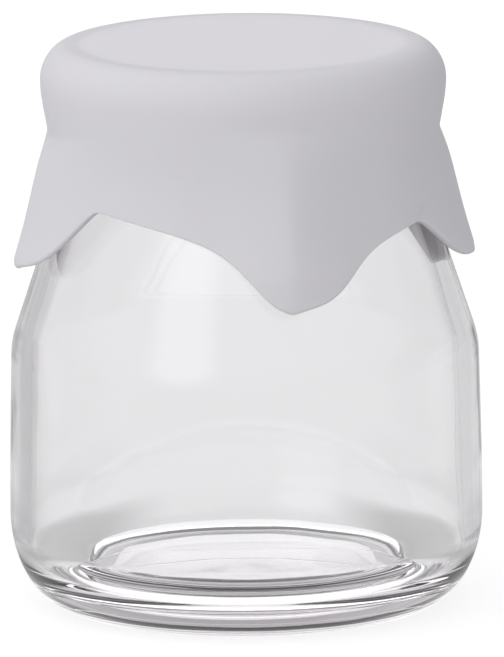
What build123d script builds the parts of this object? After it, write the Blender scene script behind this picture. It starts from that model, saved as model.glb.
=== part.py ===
"""A small glass jar for set yogurt, with a soft one-piece cap moulded like a draped square handkerchief.

The jar and the cap are two separate pieces. The cap sits over the mouth and lifts straight off.
Origin: centre of the foot ring, on the surface that the jar stands on. The front is towards -Y.
"""
import os
from math import cos, radians, sin, tan

from build123d import *

os.makedirs("parts", exist_ok=True)

# Jar, outside
body_radius = 30.0
body_top_radius = 29.7
foot_outer_radius = 22.0
foot_inner_radius = 20.6
heel_height = 12.0
band_top = 18.0
body_top = 32.0
shoulder_radius = 12.0
shoulder_turn = 17.1
neck_radius = 22.5
neck_fillet = 7.0
finish_radius = 23.2
finish_bottom = 64.0
finish_chamfer = 0.7
jar_height = 69.8
lip_fillet = 1.2

# Jar, inside
wall = 2.6
floor_height = 7.0
floor_edge = 20.6
floor_fall = 60.0
floor_fillet = 2.3
gutter_height = 4.6
gutter_foot = floor_edge + (floor_height - gutter_height) / tan(radians(floor_fall))
gutter_radius = 24.1
inner_heel_height = 5.0
inner_shoulder_radius = 11.0
mouth_radius = 20.2
push_up = 1.2
push_up_radius = 17.2
foot_chamfer = 0.6

# Cap
cap_top = 71.9
rim_radius = 3.2
rim_turn = 45.0
brow_radius = 5.0
band_radius = 25.7
rim_reach = rim_radius * sin(radians(rim_turn)) + brow_radius * (1 - sin(radians(rim_turn)))
top_radius = band_radius - rim_reach
band_low_height = 63.0
band_low_radius = 25.4
waist_radius = 24.7
waist_height = 60.7
bore_radius = 23.5
seat_height = 70.0
plug_radius = 19.9
plug_wall = 1.5
plug_depth = 4.5
plug_lead = 0.6
sheet_wall = 1.2

# Skirt of the cap: four hanging corners, and an arched hem between each pair
corner_azimuth = -78.0
corner_count = 4
corner_sharpness = 4
tip_height = 42.3
outline_points = 48
# height of a level, outer radius between corners, outer radius at a corner
skirt_levels = (
    (61.2, 24.4, 24.4),
    (56.0, 25.15, 26.35),
    (49.0, 25.9, 28.35),
    (tip_height, 26.5, 29.9),
)
# half of one arch of the hem: distance from its middle, height
hem_arch = (
    (0.0, 51.9),
    (6.8, 50.3),
    (11.3, 48.3),
    (15.3, 45.4),
    (21.0, tip_height),
)
cut_depth = 45.0


def skirt_outline(between, at_corner):
    """Points of one level of the skirt, with a rounded ridge at each corner."""
    points = []
    for step in range(outline_points):
        azimuth = 360.0 * step / outline_points
        ridge = (1 + cos(radians(corner_count * (azimuth - corner_azimuth)))) / 2
        radius = between + (at_corner - between) * ridge**corner_sharpness
        points.append((radius * cos(radians(azimuth)), radius * sin(radians(azimuth))))
    return points


# Glass jar: one revolved wall with a narrow foot ring, a shallow push-up under it, and a raised inside
# floor with a gutter round it
with BuildPart() as glass_jar:
    with BuildSketch(Plane.XZ):
        with BuildLine():
            Line((foot_inner_radius, 0), (foot_outer_radius, 0))
            EllipticalCenterArc(
                (foot_outer_radius, heel_height),
                body_radius - foot_outer_radius,
                heel_height,
                start_angle=270,
                arc_size=90,
            )
            Line((body_radius, heel_height), (body_radius, band_top))
            body = Line((body_radius, band_top), (body_top_radius, body_top))
            shoulder = JernArc(body @ 1, body % 1, shoulder_radius, shoulder_turn)
            slope = shoulder % 1
            neck_foot = shoulder @ 1 + slope * ((neck_radius - (shoulder @ 1).X) / slope.X)
            FilletPolyline(
                shoulder @ 1,
                neck_foot,
                (neck_radius, finish_bottom - finish_chamfer),
                radius=neck_fillet,
            )
            Polyline(
                (neck_radius, finish_bottom - finish_chamfer),
                (finish_radius, finish_bottom),
                (finish_radius, jar_height - lip_fillet),
            )
            CenterArc((finish_radius - lip_fillet, jar_height - lip_fillet), lip_fillet, 0, 90)
            Line((finish_radius - lip_fillet, jar_height), (mouth_radius + lip_fillet, jar_height))
            CenterArc((mouth_radius + lip_fillet, jar_height - lip_fillet), lip_fillet, 90, 90)

            inner_body = Line(
                (body_radius - wall, gutter_height + inner_heel_height),
                (body_top_radius - wall, body_top),
            )
            inner_shoulder = JernArc(
                inner_body @ 1, inner_body % 1, inner_shoulder_radius, shoulder_turn
            )
            inner_slope = inner_shoulder % 1
            reach = (mouth_radius - (inner_shoulder @ 1).X) / inner_slope.X
            FilletPolyline(
                inner_shoulder @ 1,
                inner_shoulder @ 1 + inner_slope * reach,
                (mouth_radius, jar_height - lip_fillet),
                radius=neck_fillet + wall,
            )
            EllipticalCenterArc(
                (gutter_radius, gutter_height + inner_heel_height),
                body_radius - wall - gutter_radius,
                inner_heel_height,
                start_angle=270,
                arc_size=90,
            )
            FilletPolyline(
                (0, floor_height),
                (floor_edge, floor_height),
                (gutter_foot, gutter_height),
                (gutter_radius, gutter_height),
                radius=floor_fillet,
            )
            Polyline(
                (0, floor_height),
                (0, push_up),
                (push_up_radius, push_up),
                (foot_inner_radius - foot_chamfer, foot_chamfer),
                (foot_inner_radius, 0),
            )
        make_face()
    revolve(axis=Axis.Z)
glass_jar.part.label = "glass_jar"

# Handkerchief cap: a round top and band with the four-cornered skirt below, hollowed out from underneath,
# and a plug ring that enters the jar's mouth
with BuildPart() as handkerchief_cap:
    with BuildSketch(Plane.XZ):
        with BuildLine():
            Line((0, cap_top), (top_radius, cap_top))
            rim = JernArc((top_radius, cap_top), (1, 0), rim_radius, -rim_turn)
            brow = JernArc(rim @ 1, rim % 1, brow_radius, rim_turn - 90)
            Spline(
                brow @ 1,
                (band_low_radius, band_low_height),
                (waist_radius, waist_height),
                tangents=((0, -1), (-0.2, -1)),
            )
            Polyline(
                (waist_radius, waist_height),
                (bore_radius + sheet_wall / 2, waist_height - sheet_wall),
                (0, waist_height - sheet_wall),
                (0, cap_top),
            )
        make_face()
    revolve(axis=Axis.Z)
    for height, between, at_corner in skirt_levels:
        with BuildSketch(Plane.XY.offset(height)):
            with BuildLine():
                Spline(*skirt_outline(between, at_corner), periodic=True)
            make_face()
    loft()
    with BuildSketch(Plane.XY.offset(seat_height)):
        Circle(bore_radius)
    extrude(amount=tip_height - seat_height, mode=Mode.SUBTRACT)
    for height, between, at_corner in skirt_levels:
        with BuildSketch(Plane.XY.offset(height)):
            with BuildLine():
                Spline(*skirt_outline(between - sheet_wall, at_corner - sheet_wall), periodic=True)
            make_face()
    loft(mode=Mode.SUBTRACT)
    with BuildSketch(Plane.XY.offset(cap_top - sheet_wall)):
        Circle(plug_radius)
        Circle(plug_radius - plug_wall, mode=Mode.SUBTRACT)
    extrude(amount=seat_height - plug_depth - cap_top + sheet_wall)
    plug_end = edges().filter_by(GeomType.CIRCLE).filter_by_position(
        Axis.Z, seat_height - plug_depth, seat_height - plug_depth
    )
    chamfer(plug_end.sort_by(SortBy.RADIUS)[-1], length=plug_lead)
    for side in range(corner_count):
        facing = radians(corner_azimuth + 360.0 / corner_count * (side + 0.5))
        outward = Vector(cos(facing), sin(facing), 0)
        with BuildSketch(Plane((0, 0, 0), x_dir=(-sin(facing), cos(facing), 0), z_dir=outward)):
            with BuildLine():
                left_half = [(-across, height) for across, height in reversed(hem_arch)]
                hem = Spline(*left_half, *hem_arch[1:])
                Polyline(
                    hem @ 1,
                    (hem_arch[-1][0], tip_height - 1),
                    (-hem_arch[-1][0], tip_height - 1),
                    hem @ 0,
                )
            make_face()
        extrude(amount=cut_depth, mode=Mode.SUBTRACT)
handkerchief_cap.part.label = "handkerchief_cap"

for piece in (glass_jar, handkerchief_cap):
    export_step(piece.part, f"parts/{piece.part.label}.step")
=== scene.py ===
"""Looks for the lidded yogurt jar: the clear glass, the soft moulded cap, and the studio round them."""

from math import atan2, cos, degrees, exp, hypot, pi, radians, sin, sqrt, tan

import bmesh
import bpy
from mathutils import Matrix, Vector


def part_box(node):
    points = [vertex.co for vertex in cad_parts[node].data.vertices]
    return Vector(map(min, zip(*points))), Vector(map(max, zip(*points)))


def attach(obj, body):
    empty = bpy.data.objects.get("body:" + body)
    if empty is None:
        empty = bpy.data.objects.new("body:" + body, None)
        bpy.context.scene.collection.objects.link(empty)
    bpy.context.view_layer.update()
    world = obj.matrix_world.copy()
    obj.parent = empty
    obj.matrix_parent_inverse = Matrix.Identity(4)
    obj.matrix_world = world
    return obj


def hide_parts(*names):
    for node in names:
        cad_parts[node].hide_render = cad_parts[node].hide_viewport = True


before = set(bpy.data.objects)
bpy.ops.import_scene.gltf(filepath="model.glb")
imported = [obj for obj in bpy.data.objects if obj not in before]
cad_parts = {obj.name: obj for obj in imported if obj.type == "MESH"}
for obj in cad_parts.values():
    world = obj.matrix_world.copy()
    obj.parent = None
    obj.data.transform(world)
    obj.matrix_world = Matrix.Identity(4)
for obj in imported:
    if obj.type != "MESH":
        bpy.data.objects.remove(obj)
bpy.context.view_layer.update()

MM = 0.001
WELD = 0.002
TOLERANCE = 0.001
jar_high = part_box("glass_jar")[1]
cap_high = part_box("handkerchief_cap")[1]

# ---------------------------------------------------------------- sizes, in millimetres
BODY_RADIUS = jar_high.x / MM
BODY_TAPER = 0.3
BODY_TOP_RADIUS = BODY_RADIUS - BODY_TAPER
JAR_HEIGHT = jar_high.z / MM
WALL = 2.6
FOOT_RADIUS = 22.0
FOOT_INNER_RADIUS = 20.6
FOOT_CHAMFER = 0.6
HEEL_HEIGHT = 12.0
BAND_TOP = 18.0
BODY_TOP = 32.0
SHOULDER_RADIUS = 12.0
SHOULDER_TURN = 17.1
NECK_RADIUS = 22.5
NECK_BEND = 7.0
FINISH_RADIUS = 23.2
FINISH_BOTTOM = 64.0
FINISH_SLOPE = 0.9
LIP_ROUND = 1.2
LIP_STEP = 0.5
MOUTH_RADIUS = 20.2
FLOOR_HEIGHT = 7.0
FLOOR_EDGE = 20.6
FLOOR_FALL = 60.0
FLOOR_BEND = 2.3
GUTTER_HEIGHT = 4.6
GUTTER_RADIUS = 24.1
INNER_HEEL_HEIGHT = 5.0
INNER_SHOULDER_RADIUS = 11.0
PUSH_UP = 1.2
PUSH_UP_RADIUS = 17.2
PUSH_UP_FALL = 12.0
PUSH_UP_BEND = 4.0
SPIN_STEPS = 256

CAP_TOP = cap_high.z / MM
BAND_RADIUS = 25.7
BAND_STEPS = 16
RIM_RADIUS = 3.2
RIM_TURN = 45.0
BROW_RADIUS = 5.0
WAIST_RADIUS = 24.6
WAIST_HEIGHT = 58.6
BORE_RADIUS = 23.5
SEAT_HEIGHT = 70.0
SEAT_ROUND = 0.3
PLUG_RADIUS = 19.9
PLUG_WALL = 1.5
PLUG_DEPTH = 4.5
PLUG_ROOT_ROUND = 0.4
SKIRT_LENGTH = 16.0
CAP_STEPS = 288


# ---------------------------------------------------------------- shapes
class Pen:
    """Draws an outline in the XZ plane, stretch by stretch, in millimetres. Left turns are positive.

    Each stretch ends with the number of steps that it is drawn in."""

    def __init__(self, x, z, heading=0.0):
        self.points = [(x, z)]
        self.heading = heading

    @property
    def at(self):
        return self.points[-1]

    def to(self, x, z, steps=1):
        """A straight run to a point."""
        x0, z0 = self.at
        self.heading = degrees(atan2(z - z0, x - x0))
        self.points += [(x0 + (x - x0) * i / steps, z0 + (z - z0) * i / steps) for i in range(1, steps + 1)]

    def to_radius(self, x, steps=1):
        """A straight run along the present heading, as far as a radius."""
        x0, z0 = self.at
        self.to(x, z0 + (x - x0) * tan(radians(self.heading)), steps)

    def bend(self, radius, turn, steps):
        """An arc that starts along the present heading."""
        side = 1 if turn > 0 else -1
        x0, z0 = self.at
        across = radians(self.heading + 90 * side)
        cx, cz = x0 + radius * cos(across), z0 + radius * sin(across)
        for i in range(1, steps + 1):
            angle = across + pi + radians(turn) * i / steps
            self.points.append((cx + radius * cos(angle), cz + radius * sin(angle)))
        self.heading += turn

    def oval(self, across, up, start, turn, steps):
        """A stretch of an ellipse, from one angle round its centre to another."""
        x0, z0 = self.at
        cx, cz = x0 - across * cos(radians(start)), z0 - up * sin(radians(start))
        for i in range(1, steps + 1):
            angle = radians(start + turn * i / steps)
            self.points.append((cx + across * cos(angle), cz + up * sin(angle)))
        self.heading = start + turn + (90 if turn > 0 else -90)


def spin_outline(points, steps):
    """A closed shell made by turning an outline round the Z axis. The outline starts and ends on the axis."""
    shell = bmesh.new()
    dots = [shell.verts.new((x * MM, 0, z * MM)) for x, z in points]
    lines = [shell.edges.new(pair) for pair in zip(dots, dots[1:])]
    bmesh.ops.spin(
        shell,
        geom=dots + lines,
        cent=(0, 0, 0),
        axis=(0, 0, 1),
        angle=2 * pi,
        steps=steps,
        use_merge=True,
    )
    bmesh.ops.remove_doubles(shell, verts=shell.verts, dist=WELD * MM)
    bmesh.ops.recalc_face_normals(shell, faces=shell.faces)
    return shell


def place(shell, name, body, node, finish):
    """Makes a smooth-shaded object of a finished shell, in place of its CAD node."""
    mesh = bpy.data.meshes.new(name)
    shell.to_mesh(mesh)
    shell.free()
    mesh.shade_smooth()
    mesh.materials.append(finish)
    piece = bpy.data.objects.new(name, mesh)
    bpy.context.scene.collection.objects.link(piece)
    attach(piece, body)
    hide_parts(node)
    return piece


# ---------------------------------------------------------------- materials
class Value:
    """A number from a material's nodes, which sums can be written on."""

    def __init__(self, finish, socket):
        self.finish = finish
        self.socket = socket

    def maths(self, operation, *values):
        return self.finish.node("ShaderNodeMath", {"operation": operation}, values)

    def __add__(self, other):
        return self.maths("ADD", self, other)

    def __mul__(self, other):
        return self.maths("MULTIPLY", self, other)

    def __sub__(self, other):
        return self.maths("SUBTRACT", self, other)

    def __rsub__(self, other):
        return self.maths("SUBTRACT", other, self)

    def __pow__(self, other):
        return self.maths("POWER", self, other)

    def __abs__(self):
        return self.maths("ABSOLUTE", self)

    __radd__ = __add__
    __rmul__ = __mul__

    def at_least(self, least):
        return self.maths("MAXIMUM", self, least)

    def below(self, limit):
        """1 where this number is below a limit, and 0 elsewhere."""
        return self.maths("LESS_THAN", self, limit)

    def smooth(self, start, end):
        """Runs smoothly from 0, where this number is start, to 1, where it is end."""
        return self.finish.node(
            "ShaderNodeMapRange", {"interpolation_type": "SMOOTHSTEP"}, (self, start, end)
        )

    def axis(self, number):
        """One axis of a vector: 0 is X, 1 is Y and 2 is Z."""
        return self.finish.node("ShaderNodeSeparateXYZ", values=(self,), output=number)

    def length(self):
        """The length of a vector."""
        return self.finish.node(
            "ShaderNodeVectorMath", {"operation": "LENGTH"}, (self,), output="Value"
        )

    def toward(self, direction):
        """How far a vector points along a direction."""
        return self.finish.node(
            "ShaderNodeVectorMath", {"operation": "DOT_PRODUCT"}, (self, direction), output="Value"
        )


class Finish:
    """A material or a world under construction."""

    def __init__(self, owner):
        owner.use_nodes = True
        self.owner = owner
        self.tree = owner.node_tree
        self.tree.nodes.clear()

    def node(self, kind, settings=None, values=(), output=0):
        """Adds a node: first its settings, then its sockets by place or by name. Returns an output."""
        made = self.tree.nodes.new(kind)
        for key, value in (settings or {}).items():
            setattr(made, key, value)
        pairs = values.items() if isinstance(values, dict) else enumerate(values)
        for key, value in pairs:
            if isinstance(value, Value):
                self.tree.links.new(value.socket, made.inputs[key])
            else:
                made.inputs[key].default_value = value
        return Value(self, made.outputs[output]) if made.outputs else None

    def ray(self, kind):
        """1 for light of one kind, such as what the camera sees itself, and 0 for the rest."""
        return self.node("ShaderNodeLightPath", output=f"Is {kind} Ray")


def new_finish(name):
    return Finish(bpy.data.materials.new(name))


def silicone():
    """Matte moulded silicone: cool white, with a very fine spark-eroded grain and a soft inner glow."""
    skin = new_finish("white_silicone")
    place_on = skin.node("ShaderNodeTexCoord", output="Object")
    cloud = skin.node(
        "ShaderNodeTexNoise",
        values={"Vector": place_on, "Scale": 60.0, "Detail": 3.0, "Roughness": 0.5},
    )
    grain = skin.node(
        "ShaderNodeTexNoise",
        values={"Vector": place_on, "Scale": 2600.0, "Detail": 2.0, "Roughness": 0.6},
    )
    tone = skin.node(
        "ShaderNodeMix",
        {"data_type": "RGBA"},
        {0: cloud, 6: (0.785, 0.777, 0.808, 1), 7: (0.81, 0.802, 0.833, 1)},
        output=2,
    )
    bump = skin.node(
        "ShaderNodeBump",
        values={"Strength": 0.25, "Distance": 0.00004, "Height": grain},
    )
    shader = skin.node(
        "ShaderNodeBsdfPrincipled",
        values={
            "Base Color": tone,
            "Roughness": 0.56 + 0.12 * cloud,
            "IOR": 1.41,
            "Subsurface Weight": 0.45,
            "Subsurface Radius": (1.0, 0.9, 0.85),
            "Subsurface Scale": 0.0025,
            "Normal": bump,
        },
    )
    skin.node("ShaderNodeOutputMaterial", values={"Surface": shader})
    return skin.owner


# The mould's parting lines, in millimetres
SEAM_HALF_WIDTH = 0.18
BASE_SEAM_HEIGHT = 4.0
BASE_SEAM_HALF_WIDTH = 0.22


def container_glass():
    """Clear moulded glass: faintly grey through its thickness, slightly wavy, with the mould's parting lines.

    One line runs round the heel, where the base plate met the mould, and two run up the sides."""
    glass = new_finish("clear_glass")
    place_on = glass.node("ShaderNodeTexCoord", output="Object")
    ripple = glass.node(
        "ShaderNodeTexNoise",
        values={"Vector": place_on, "Scale": 90.0, "Detail": 1.0, "Roughness": 0.4},
    )
    seams = abs(place_on.axis(1)).smooth(SEAM_HALF_WIDTH * MM, 0.0)
    ring = abs(place_on.axis(2) - BASE_SEAM_HEIGHT * MM).smooth(BASE_SEAM_HALF_WIDTH * MM, 0.0)
    lines = seams + ring
    bump = glass.node(
        "ShaderNodeBump",
        values={"Strength": 0.3, "Distance": 0.0002, "Height": ripple + 0.5 * lines},
    )
    shader = glass.node(
        "ShaderNodeBsdfPrincipled",
        values={
            "Base Color": (1, 1, 1, 1),
            "Roughness": 0.01 * ripple,
            "IOR": 1.52,
            "Transmission Weight": 1.0,
            "Normal": bump,
        },
    )
    depth = glass.node(
        "ShaderNodeVolumeAbsorption",
        values={"Color": (0.90, 0.892, 0.898, 1), "Density": 90.0},
    )
    glass.node("ShaderNodeOutputMaterial", values={"Surface": shader, "Volume": depth})
    return glass.owner


# ---------------------------------------------------------------- the jar
def jar_outline():
    """The jar's section: out under the base, up the outside, over the lip and down the inside."""
    pen = Pen(0, PUSH_UP)
    cut = PUSH_UP_BEND * tan(radians(PUSH_UP_FALL / 2))
    pen.to(PUSH_UP_RADIUS - cut, PUSH_UP, 10)
    pen.bend(PUSH_UP_BEND, -PUSH_UP_FALL, 8)
    pen.to(FOOT_INNER_RADIUS - FOOT_CHAMFER, FOOT_CHAMFER, 4)
    pen.to(FOOT_INNER_RADIUS, 0.0, 2)
    pen.to(FOOT_RADIUS, 0.0, 2)
    pen.oval(BODY_RADIUS - FOOT_RADIUS, HEEL_HEIGHT, -90, 90, 32)
    pen.to(BODY_RADIUS, BAND_TOP, 5)
    pen.to(BODY_TOP_RADIUS, BODY_TOP, 10)
    pen.bend(SHOULDER_RADIUS, SHOULDER_TURN, 10)
    slope = 90 - pen.heading
    pen.to_radius(NECK_RADIUS + NECK_BEND * (1 - cos(radians(slope))), 14)
    pen.bend(NECK_BEND, slope, 8)
    pen.to(NECK_RADIUS, FINISH_BOTTOM - FINISH_SLOPE, 6)
    pen.to(FINISH_RADIUS, FINISH_BOTTOM, 2)
    pen.to(FINISH_RADIUS, JAR_HEIGHT - LIP_ROUND, 5)
    pen.bend(LIP_ROUND, 90, 8)
    pen.to(MOUTH_RADIUS + LIP_ROUND, JAR_HEIGHT)
    pen.bend(LIP_ROUND, 90, 8)
    inner = Pen(0, FLOOR_HEIGHT)
    cut = FLOOR_BEND * tan(radians(FLOOR_FALL / 2))
    inner.to(FLOOR_EDGE - cut, FLOOR_HEIGHT, 10)
    inner.bend(FLOOR_BEND, -FLOOR_FALL, 8)
    foot = FLOOR_EDGE + (FLOOR_HEIGHT - GUTTER_HEIGHT) / tan(radians(FLOOR_FALL))
    inner.to_radius(foot - cut * cos(radians(FLOOR_FALL)), 2)
    inner.bend(FLOOR_BEND, FLOOR_FALL, 8)
    inner.to(GUTTER_RADIUS, GUTTER_HEIGHT)
    inner.oval(BODY_RADIUS - WALL - GUTTER_RADIUS, INNER_HEEL_HEIGHT, -90, 90, 24)
    inner.to(BODY_TOP_RADIUS - WALL, BODY_TOP, 12)
    inner.bend(INNER_SHOULDER_RADIUS, SHOULDER_TURN, 16)
    slope = 90 - inner.heading
    bend = NECK_BEND + WALL
    inner.to_radius(MOUTH_RADIUS + bend * (1 - cos(radians(slope))), 14)
    inner.bend(bend, slope, 8)
    inner.to(MOUTH_RADIUS, JAR_HEIGHT - LIP_ROUND - LIP_STEP, 8)
    return pen.points + list(reversed(inner.points))


def make_jar(finish):
    shell = spin_outline(jar_outline(), SPIN_STEPS)
    piece = place(shell, "moulded_glass_jar", "jar", "glass_jar", finish)


# ---------------------------------------------------------------- the cap
# Each corner of the skirt: its azimuth in degrees from +X, the height of its tip, and for the side before it
# and the side after it: how far the hem rises, the angle of its steepest climb, how sudden the climb is, and
# the width of the fold, in degrees.
CORNERS = (
    (-78.0, 42.2, (7.8, 12.5, 2.6, 19.0), (6.2, 19.0, 4.0, 21.0)),
    (12.0, 43.4, (6.5, 34.0, 6.0, 34.0), (7.5, 20.0, 3.2, 26.0)),
    (102.0, 42.8, (8.0, 18.0, 3.0, 25.0), (7.4, 21.0, 3.4, 26.0)),
    (192.0, 44.2, (7.6, 17.0, 3.2, 26.0), (12.0, 28.0, 3.5, 32.0)),
)
# The hem: its rise per degree away from a corner, the small point at each corner, and a height above it all
HEM_SLOPE = 0.055
HEM_POINT = 0.5
HEM_POINT_WIDTH = 4.0
HEM_ROUND = 0.5
HEM_LIMIT = 99.0
# The skirt between the folds, and the height where the waist in front and behind begins to fill out
CLING_SLOPE = 0.035
CLING_CURVE = 0.0115
DRAPE_TOP = 67.0
WAIST_FILL = 0.7
# The folds: where they start and how far down they reach most of their depth, with what is added to each in
# front and behind. The two last are shares of a fold's width.
FOLD_TOP = 61.0
FOLD_TOP_FACING = 4.0
FOLD_RUN = 3.6
FOLD_RUN_FACING = 3.0
FOLD_DEPTH = 2.65
CORNER_REACH = 29.75
CORNER_ROUND = 0.3
FOLD_CREST_ROUND = 0.06
FOLD_FOOT_ROUND = 0.2
# The crease
CREASE_AZIMUTH = -27.5
CREASE_HEIGHT = 52.3
CREASE_SLANT = 0.18
CREASE_LENGTH = 2.6
CREASE_WIDTH = 0.55
CREASE_DEPTH = 0.25


def turn_between(a, b):
    """The signed angle from b to a, in degrees, from -180 to 180."""
    return (a - b + 180) % 360 - 180


def soft_least(a, b, width):
    """The lesser of two numbers, with a rounded changeover."""
    return (a + b - sqrt((a - b) ** 2 + width**2)) / 2


def ease(share):
    """Goes from 0 to 1 with a gentle start and end."""
    return share**2 * (3 - 2 * share)


def hem_height(azimuth):
    """The height of the skirt's lower edge: lowest at the corners, arched between them."""
    height = HEM_LIMIT
    for corner, tip, before, after in CORNERS:
        away = turn_between(azimuth, corner)
        rise, middle, suddenness, _ = after if away > 0 else before
        away = abs(away)
        climb = rise * (1 - 1 / (1 + (away / middle) ** suddenness))
        point = HEM_POINT * (1 - exp(-away / HEM_POINT_WIDTH))
        height = soft_least(height, tip + climb + point + HEM_SLOPE * away, HEM_ROUND)
    return height


def cling_radius(height):
    """The outside of the skirt between the folds, where it lies close to the shoulder of the jar."""
    drop = max(WAIST_HEIGHT - height, 0)
    return WAIST_RADIUS + CLING_SLOPE * drop + CLING_CURVE * drop**2


def crease_depth(azimuth, height):
    """A short slanting crease, pressed in where the right-hand fold begins."""
    along = turn_between(azimuth, CREASE_AZIMUTH)
    above = height - CREASE_HEIGHT - CREASE_SLANT * along
    return CREASE_DEPTH * exp(-((along / CREASE_LENGTH) ** 2) - (above / CREASE_WIDTH) ** 2)


def skirt_radius(azimuth, height):
    """The outside of the skirt: it clings between the corners, and stands out in a fold at each one.

    The waist is shallower in front and behind than at the sides, and the folds there start higher up."""
    facing = sin(radians(azimuth)) ** 2
    share = min(max((DRAPE_TOP - height) / (DRAPE_TOP - WAIST_HEIGHT), 0), 1)
    base = cling_radius(height) + WAIST_FILL * facing * ease(share)
    below = max(FOLD_TOP + FOLD_TOP_FACING * facing - height, 0)
    depth = FOLD_DEPTH * (1 - exp(-below / (FOLD_RUN + FOLD_RUN_FACING * facing)))
    depth = soft_least(depth, CORNER_REACH - base, CORNER_ROUND)
    radius = base
    for corner, _, before, after in CORNERS:
        away = turn_between(azimuth, corner)
        width = (after if away > 0 else before)[3]
        along = hypot(away / width, FOLD_CREST_ROUND) - FOLD_CREST_ROUND
        fold = (1 - along + hypot(1 - along, FOLD_FOOT_ROUND)) / 2
        radius += depth * fold
    return radius - crease_depth(azimuth, height)


def cap_outline():
    """The cap's section, with its skirt hanging straight down."""
    pen = Pen(0, CAP_TOP)
    reach = RIM_RADIUS * sin(radians(RIM_TURN)) + BROW_RADIUS * (1 - sin(radians(RIM_TURN)))
    pen.to(BAND_RADIUS - reach, CAP_TOP, 10)
    pen.bend(RIM_RADIUS, -RIM_TURN, 8)
    pen.bend(BROW_RADIUS, RIM_TURN - 90, 10)
    band_x, band_z = pen.at
    for i in range(1, BAND_STEPS + 1):
        share = i / BAND_STEPS
        inward = (band_x - WAIST_RADIUS) * ease(share)
        pen.points.append((band_x - inward, band_z + (WAIST_HEIGHT - band_z) * share))
    hem_round = (WAIST_RADIUS - BORE_RADIUS) / 2
    low = WAIST_HEIGHT - SKIRT_LENGTH + hem_round
    pen.to(WAIST_RADIUS, low, 36)
    pen.bend(hem_round, -180, 8)
    pen.to(BORE_RADIUS, WAIST_HEIGHT, 36)
    pen.to(BORE_RADIUS, SEAT_HEIGHT - SEAT_ROUND, 8)
    pen.bend(SEAT_ROUND, 90, 3)
    pen.to(PLUG_RADIUS + SEAT_ROUND, SEAT_HEIGHT, 2)
    pen.bend(SEAT_ROUND, 90, 3)
    pen.to(PLUG_RADIUS, SEAT_HEIGHT - PLUG_DEPTH + PLUG_WALL / 2, 4)
    pen.bend(PLUG_WALL / 2, -180, 8)
    pen.to(PLUG_RADIUS - PLUG_WALL, SEAT_HEIGHT - PLUG_ROOT_ROUND, 4)
    pen.bend(PLUG_ROOT_ROUND, 90, 3)
    pen.to(0, SEAT_HEIGHT, 8)
    return pen.points


def drape(shell):
    """Moves the straight skirt's points to the draped shape. The folds begin a little above the waist."""
    for dot in shell.verts:
        x, y, z = dot.co / MM
        across = hypot(x, y)
        if z >= DRAPE_TOP or across < BORE_RADIUS - TOLERANCE:
            continue
        azimuth = degrees(atan2(y, x))
        share = max(WAIST_HEIGHT - z, 0) / SKIRT_LENGTH
        height = z
        if share > 0:
            height = WAIST_HEIGHT - share * (WAIST_HEIGHT - hem_height(azimuth))
        radius = across + skirt_radius(azimuth, height) - WAIST_RADIUS
        dot.co = Vector((radius * cos(radians(azimuth)), radius * sin(radians(azimuth)), height)) * MM


def make_cap(finish):
    shell = spin_outline(cap_outline(), CAP_STEPS)
    drape(shell)
    piece = place(shell, "draped_corner_cap", "cap", "handkerchief_cap", finish)


# ---------------------------------------------------------------- the studio
TABLE_SIZE = 6.0
TABLE_GREY = 0.36
# How bright the table is to the camera, to matte surfaces, and to what the glass bends or mirrors
TABLE_SEEN = 0.8
TABLE_SOFT = 0.20
TABLE_THROUGH = 0.57
# Painted shade and light that only the glass shows: through it the table is darker on each side of the jar,
# more so on the left, and in two patches close behind it, and a painted light under its foot stands in for
# the light the glass gathers there
SIDE_PAINTED_SHADE = 0.13
LEFT_PAINTED_SHADE = 0.13
FLANK_PAINTED_SHADE = 0.28
FOOT_PAINTED_LIGHT = 0.7


def make_floor():
    """A plain pale table top, big enough for every view, that glows evenly to the camera and to matte
    surfaces; what the glass bends or mirrors sees painted shade beside and behind the jar and a painted light
    under its foot.
    """
    top = new_finish("studio_table")
    place_on = top.node("ShaderNodeTexCoord", output="Object")
    x = place_on.axis(0)
    y = place_on.axis(1)
    # Painted shade beside and behind the jar, and a painted light under its foot, seen only through or in the
    # glass
    side = (abs(x) - 0.25 * y).smooth(0.034, 0.064) * (abs(x) - 1.3 * y).smooth(0.09, 0.04)
    left = x.below(0.0)
    flank = y.smooth(0.09, 0.05) * abs(x).smooth(0.010, 0.022) * abs(x).smooth(0.08, 0.05)
    behind = y.smooth(-0.01, 0.015)
    under = place_on.length().smooth(0.034, 0.022)
    painted_shade = side * (SIDE_PAINTED_SHADE + LEFT_PAINTED_SHADE * left) + FLANK_PAINTED_SHADE * flank
    through = TABLE_THROUGH - behind * painted_shade + FOOT_PAINTED_LIGHT * under
    seen = top.ray("Camera")
    soft = top.ray("Diffuse")
    level = TABLE_SEEN * seen + (1 - seen) * (TABLE_SOFT * soft + (1 - soft) * through)
    shader = top.node(
        "ShaderNodeBsdfPrincipled",
        values={
            "Base Color": (TABLE_GREY, TABLE_GREY, TABLE_GREY, 1),
            "Roughness": 0.9,
            "Specular IOR Level": 0.0,
            "Emission Color": (1, 0.99, 1, 1),
            "Emission Strength": level,
        },
    )
    top.node("ShaderNodeOutputMaterial", values={"Surface": shader})
    sheet = bmesh.new()
    bmesh.ops.create_grid(sheet, x_segments=1, y_segments=1, size=TABLE_SIZE)
    mesh = bpy.data.meshes.new("studio_floor")
    sheet.to_mesh(mesh)
    sheet.free()
    mesh.materials.append(top.owner)
    floor = bpy.data.objects.new("studio_floor", mesh)
    bpy.context.scene.collection.objects.link(floor)


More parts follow.
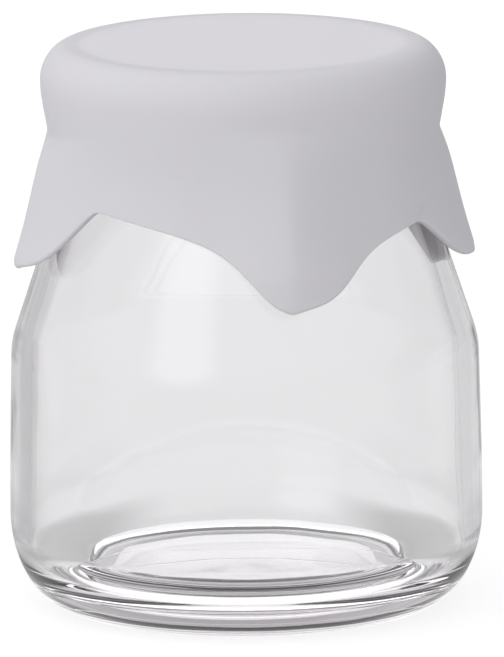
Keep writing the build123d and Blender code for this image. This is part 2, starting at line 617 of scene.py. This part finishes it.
# Where things stand in the room: its brightest part is high on the left, a dark flag is on the right, and a
# white card, which only reflections show, is in front on the left
ROOM_BRIGHT = Vector((-0.38, -0.66, 0.60))
ROOM_FLAG = Vector((0.80, -0.60, 0.0))
ROOM_CARD = Vector((-0.53, -0.79, 0.31))
ROOM_LEAST = 0.03


def make_surroundings():
    """A soft white room: brightest high on the left, dimmer to the right. The camera sees plain white."""
    room = Finish(bpy.data.worlds.new("studio_room"))
    bpy.context.scene.world = room.owner
    direction = room.node("ShaderNodeTexCoord", output="Generated")
    bright = direction.toward(ROOM_BRIGHT)
    flag = direction.toward(ROOM_FLAG).at_least(0.0) ** 2
    card = direction.toward(ROOM_CARD).smooth(0.93, 0.995)
    on_matte = (0.49 + 0.62 * bright - 0.55 * flag).at_least(ROOM_LEAST)
    on_glass = 0.94 + 0.22 * bright
    soft = room.ray("Diffuse")
    level = soft * on_matte + (1 - soft) * on_glass + room.ray("Glossy") * (0.8 * card - 0.2)
    light = room.node("ShaderNodeBackground", values={"Color": (1, 0.99, 1.01, 1), "Strength": level})
    plain = room.node("ShaderNodeBackground", values={"Color": (1, 1, 1, 1), "Strength": 1.0})
    both = room.node("ShaderNodeMixShader", values=(room.ray("Camera"), light, plain))
    room.node("ShaderNodeOutputWorld", values={"Surface": both})


def make_camera():
    """A long lens two metres away, looking slightly down at the middle of the jar."""
    distance = 2.0
    focal_length = 863.9
    down = radians(10.9)
    roll = radians(-0.45)
    aim = Vector((0.00089, 0, 0.0351))
    back = Vector((0, -cos(down), sin(down)))
    lens = bpy.data.cameras.new("studio_camera")
    lens.lens = focal_length
    lens.sensor_width = 36.0
    lens.clip_end = 20.0
    camera = bpy.data.objects.new("studio_camera", lens)
    camera.location = aim + back * distance
    turn = back.to_track_quat("Z", "Y").to_matrix() @ Matrix.Rotation(roll, 3, "Z")
    camera.rotation_euler = turn.to_euler()
    bpy.context.scene.collection.objects.link(camera)
    bpy.context.scene.camera = camera


bpy.context.scene.view_settings.view_transform = "Standard"
make_camera()
make_surroundings()
make_floor()
make_jar(container_glass())
make_cap(silicone())
